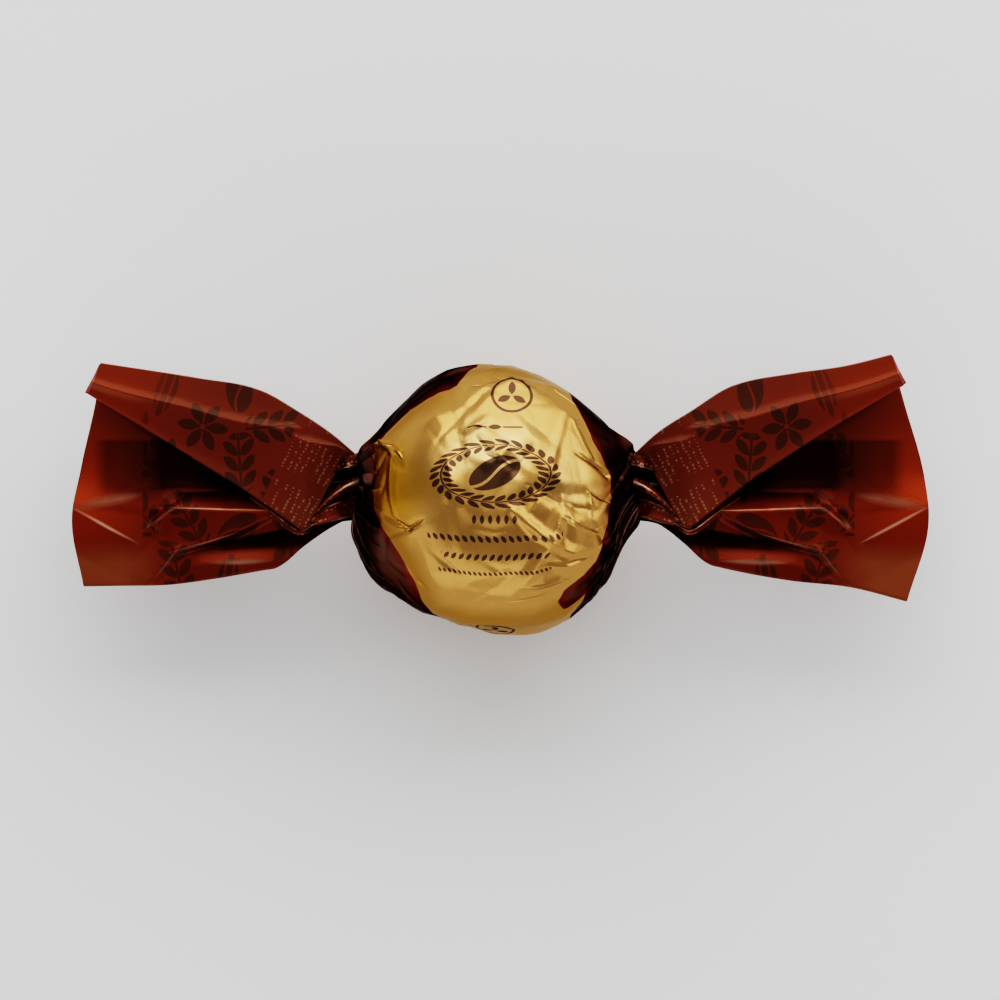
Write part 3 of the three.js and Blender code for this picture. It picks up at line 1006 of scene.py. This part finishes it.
def wing_piece(name, side, outlines, materials):
    """A closed band of film: the lower part's front, the flap's underside and front, and the wing's back.

    Each column of points runs outward from the neck.
    """
    wing_top, wing_bottom, flap_edge, outer_edge = (
        through(outlines[edge]) for edge in ("top", "bottom", "flap", "outer")
    )
    flap_end, stretch = outlines["flap_end"], outlines["stretch"]
    rows = np.linspace(0, 1, WING_ROWS) ** 1.1
    columns, faces = [], []

    def add(out, y, z, place, material):
        columns.append(stacked(out, y, z, *place))
        faces.append(material)

    def lower(q, gap, extra=0.0, bulge=0.0):
        out = -1 + (outer_edge(q) + extra + 1) * rows
        y = mix(wing_bottom(out) - bulge, wing_top(out) - 1.0, q)
        z = lower_height(out / stretch, y) + gathers(out, q) - gap
        add(out, y, z, (out / stretch, y), LOWER)

    def flap(f, gap, extra=0.0, bulge=0.0, material=FLAP):
        out = -1 + (mix(outer_edge(1), flap_end, f) + extra + 1) * rows
        y = mix(wing_top(out), flap_edge(out) - bulge, f)
        z = flap_height(out, f, wing_top(out) - flap_edge(out)) + folded(out, y, FLAP_FOLDS) - gap
        add(out, y, z, turned(out, y, FLAP_PRINT_TURN), material)

    def back(q):
        out = -1 + (outer_edge(q) + 0.1 + 1) * rows
        y = mix(wing_bottom(out), wing_top(out), q)
        near_top = clamp((wing_top(out) - y) / 0.8)
        thick = np.sqrt(1 - (1 - near_top) ** 2)
        front = lower_height(out / stretch, y) + gathers(out, q)
        z = mix(-droop(out, LOWER_DROOP), front, near_top) - BACK_GAP * thick
        add(out, y, z, (out / stretch, y), FLAP)

    for q in np.linspace(0, 1, LOWER_COLUMNS):
        lower(q, 0)
    for f in np.linspace(0.06, 0.985, INNER_COLUMNS):
        flap(f, LAYER_GAP, 0.12 + 0.4 * f, material=INNER if f < INNER_END else FLAP)
    for behind, bulge in ROUND_EDGE:
        flap(1.0, LAYER_GAP * behind, 0.06, 0.1 * bulge)
    for f in np.linspace(1, 0, FLAP_COLUMNS) ** 1.5:
        flap(f, 0)
    for q in 1 - np.linspace(0, 1, BACK_COLUMNS)[1:] ** 1.6:
        back(q)
    for behind, bulge in ROUND_EDGE:
        lower(0.0, BACK_GAP * behind, 0.05, 0.2 * bulge)
    grid = np.stack(columns, axis=1)
    out, y, z = (grid[..., i] for i in range(3))
    points = BALL_CENTRE + stacked(side * (NECK_REACH + out), y, z)
    wobble = noise(points, 9, 11) * 0.16 + noise(points, 4, 12) * 0.03
    points[..., 2] += wobble * clamp(out / 10)
    uvs = np.concatenate([grid[..., 3:5], grid[:, :1, 3:5]], axis=1)
    return mesh_piece(name, points, uvs, materials, 0.0, faces, wrapped=True, flipped=side > 0)


# The strands

STRAND_SEED = 21
STRAND_ROWS = 48
STRAND_STEPS = 19
# The strands between a neck and its wing: (out, y, z, half width) along each one's middle, the height of its
# crest, the crest's place across it from -1 to 1, and whether it lies low between the others and takes
# painted shade.
STRANDS = [
    (
        [(-1.8, 2.6, 2.8, 1.0), (0.4, 1.8, 3.6, 0.85), (2.4, 0.5, 3.4, 0.6), (4.9, -1.9, 2.5, 0.12)],
        0.9, 0.1, False,
    ),
    (
        [(-1.8, -0.4, 0.8, 1.5), (1.5, -1.3, 2.1, 1.35), (4.0, -2.3, 2.1, 1.1), (7.2, -4.1, 1.2, 0.3)],
        1.0, 0.75, False,
    ),
    ([(-1.8, 5.4, 2.4, 1.1), (0.3, 4.9, 3.3, 1.1), (2.2, 4.1, 2.2, 0.6)], 1.1, -0.4, True),
    ([(-1.6, 3.7, -0.6, 1.2), (2.3, 2.4, -1.0, 1.0), (4.8, 0.2, -1.2, 0.5)], 0.5, 0.2, True),
    (
        [(4.6, -3.2, 1.4, 0.2), (7.0, -4.3, 2.2, 0.42), (10.5, -1.9, 1.8, 0.4), (13.6, 0.4, 1.0, 0.1)],
        0.3, 0.5, False,
    ),
    ([(-1.8, 1.0, -3.4, 1.5), (2.0, 0.4, -3.0, 1.4), (6.5, -0.6, -1.9, 0.5)], 0.9, 0.2, False),
    ([(-1.8, 3.6, -2.4, 1.3), (2.5, 4.6, -2.2, 1.2), (7.0, 6.4, -1.4, 0.4)], 0.8, -0.3, True),
    ([(-1.8, -1.4, -1.6, 1.2), (2.2, -2.0, -1.6, 1.1), (6.0, -4.2, -1.2, 0.4)], 0.8, 0.3, True),
]


def strand_piece(name, side, film, strand, wider_highlight, draws):
    """One narrow folded ribbon with a painted highlight along its crest, widened near the neck by the given
    mm.
    """
    line, rise, crest, _ = strand
    line = np.array(line, float)
    share = np.linspace(0, 1, STRAND_ROWS)
    across = np.linspace(-1, 1, STRAND_STEPS)[None]
    places = np.linspace(0, 1, len(line))
    out, y, z, half = (through(list(zip(places, values)))(share)[:, None] for values in line.T)
    direction = np.hstack([np.gradient(out, axis=0), np.gradient(y, axis=0)])
    direction /= np.linalg.norm(direction, axis=-1, keepdims=True)
    facing = 1 if line[0, 2] > -1 else -1
    from_crest = np.where(across > crest, (across - crest) / (1 - crest), (crest - across) / (1 + crest))
    drop = rise * (from_crest ** 1.15 + 0.8 * np.abs(across) ** 8)
    dent = 0.2 * np.sin(share[:, None] * 9 + draws.uniform(0, 6)) * (1 - from_crest)
    points = BALL_CENTRE + stacked(
        side * (NECK_REACH + out - direction[:, 1:] * half * across),
        y + direction[:, :1] * half * across,
        z + facing * (dent - drop) * clamp(half / 0.6),
    )
    print_y = half * across + draws.uniform(0, 30)
    uvs = stacked(print_y, out + 0.4 * y)
    highlight_width = 0.1 + wider_highlight * clamp(1 - share[:, None] * 1.6) ** 2
    painted_crease_highlight = clamp(1.3 - np.abs(across - crest) * half / highlight_width) * clamp(2 - 2.2 * share[:, None])
    return mesh_piece(name, points, uvs, [film], painted_crease_highlight)


def strand_pieces(name, side, lit_film, shaded_film):
    """The ribbons that come out of a neck and run out along its wing."""
    draws = np.random.default_rng(STRAND_SEED)
    pieces = []
    for number, strand in enumerate(STRANDS):
        # Strands lying low between the others get the darker copy of the film, with painted shade.
        film = shaded_film if strand[-1] else lit_film
        wider_highlight = 0.45 if number == 0 else 0
        pieces.append(strand_piece(f"{name}_{number}", side, film, strand, wider_highlight, draws))
    return pieces


# The studio, in metres

WORLD_GREY = (0.32, 0.32, 0.32, 1)
PAPER_GREY = (0.9, 0.9, 0.9, 1)
FLOOR_HALF_SIDE = 1.5
CAMERA_DISTANCE = 0.9
VIEW_WIDTH = 0.135  # across the picture at the height of the ball's middle
VIEW_SHIFT = 0.00068  # from the ball's middle to the picture's
# Each light panel's name, place, size and radiance.
PANELS = [
    ("top", (0.03, 0.2, 1.28), (1.1, 0.8), 0.45),
    ("back", (0.0, 0.95, 0.64), (1.7, 1.0), 1.9),
    ("back_right", (1.0, 0.42, 0.35), (1.0, 0.6), 1.85),
    ("front", (-0.1, -1.05, 0.40), (1.9, 0.55), 1.0),
    ("left", (-1.0, -0.42, 0.38), (0.7, 0.5), 0.8),
]


def backdrop():
    """Grey surroundings and the picture's contrast."""
    scene = bpy.context.scene
    scene.world = bpy.data.worlds.new("studio")
    scene.world.use_nodes = True
    background = scene.world.node_tree.nodes["Background"]
    background.inputs["Color"].default_value = WORLD_GREY
    scene.view_settings.view_transform = "Filmic"
    scene.view_settings.look = "Very High Contrast"


def floor_piece():
    """A square sheet of matt white paper."""
    side = FLOOR_HALF_SIDE
    corners = [(-side, -side, 0), (side, -side, 0), (side, side, 0), (-side, side, 0)]
    mesh = bpy.data.meshes.new("floor")
    mesh.from_pydata(corners, [], [(0, 1, 2, 3)])
    paper = bpy.data.materials.new("paper")
    paper.use_nodes = True
    shader = paper.node_tree.nodes["Principled BSDF"]
    shader.inputs["Base Color"].default_value = PAPER_GREY
    shader.inputs["Roughness"].default_value = 0.9
    mesh.materials.append(paper)
    return add_object("floor", mesh)


def panel(name, place, aim, size, radiance):
    """A soft rectangular light that faces aim."""
    data = bpy.data.lights.new(name, "AREA")
    data.shape = "RECTANGLE"
    data.size, data.size_y = size
    data.energy = math.pi * size[0] * size[1] * radiance
    lamp = add_object(name, data)
    lamp.location = place
    lamp.rotation_euler = (aim - Vector(place)).to_track_quat("-Z", "Y").to_euler()


def camera_above(aim):
    """The photograph's view, straight down."""
    data = bpy.data.cameras.new("camera")
    data.lens = data.sensor_width * CAMERA_DISTANCE / VIEW_WIDTH
    camera = add_object("camera", data)
    camera.location = (aim.x + VIEW_SHIFT, aim.y, aim.z + CAMERA_DISTANCE)
    bpy.context.scene.camera = camera


def studio():
    """Everything around the truffle."""
    backdrop()
    floor = floor_piece()
    middle = Vector((0, 0, BALL_CENTRE[2] * MM))
    for name, place, size, radiance in PANELS:
        panel(name, place, middle, size, radiance)
    camera_above(Vector(BALL_CENTRE * MM))


film_ball = ball_film()
neck_films = [
    strand_film("film_neck", RED_INK, RED_INK_TONE_AND_SHADE),
    # The darker copy, with painted shade, for strands lying low between the others.
    strand_film("film_neck_painted_shade", RED_INK_TONE_AND_SHADE, SHADOW_AND_LAYERS_INK),
]
wing_films = [lower_film(), flap_film(), inner_film()]
pieces = [
    ball_piece(film_ball),
    wing_piece("film_wing_left", -1, LEFT_WING, wing_films),
    wing_piece("film_wing_right", 1, RIGHT_WING, wing_films),
    *strand_pieces("film_neck_left", -1, *neck_films),
    *strand_pieces("film_neck_right", 1, *neck_films),
]
for piece in pieces:
    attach(piece, "root")
    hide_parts(NODE)
studio()
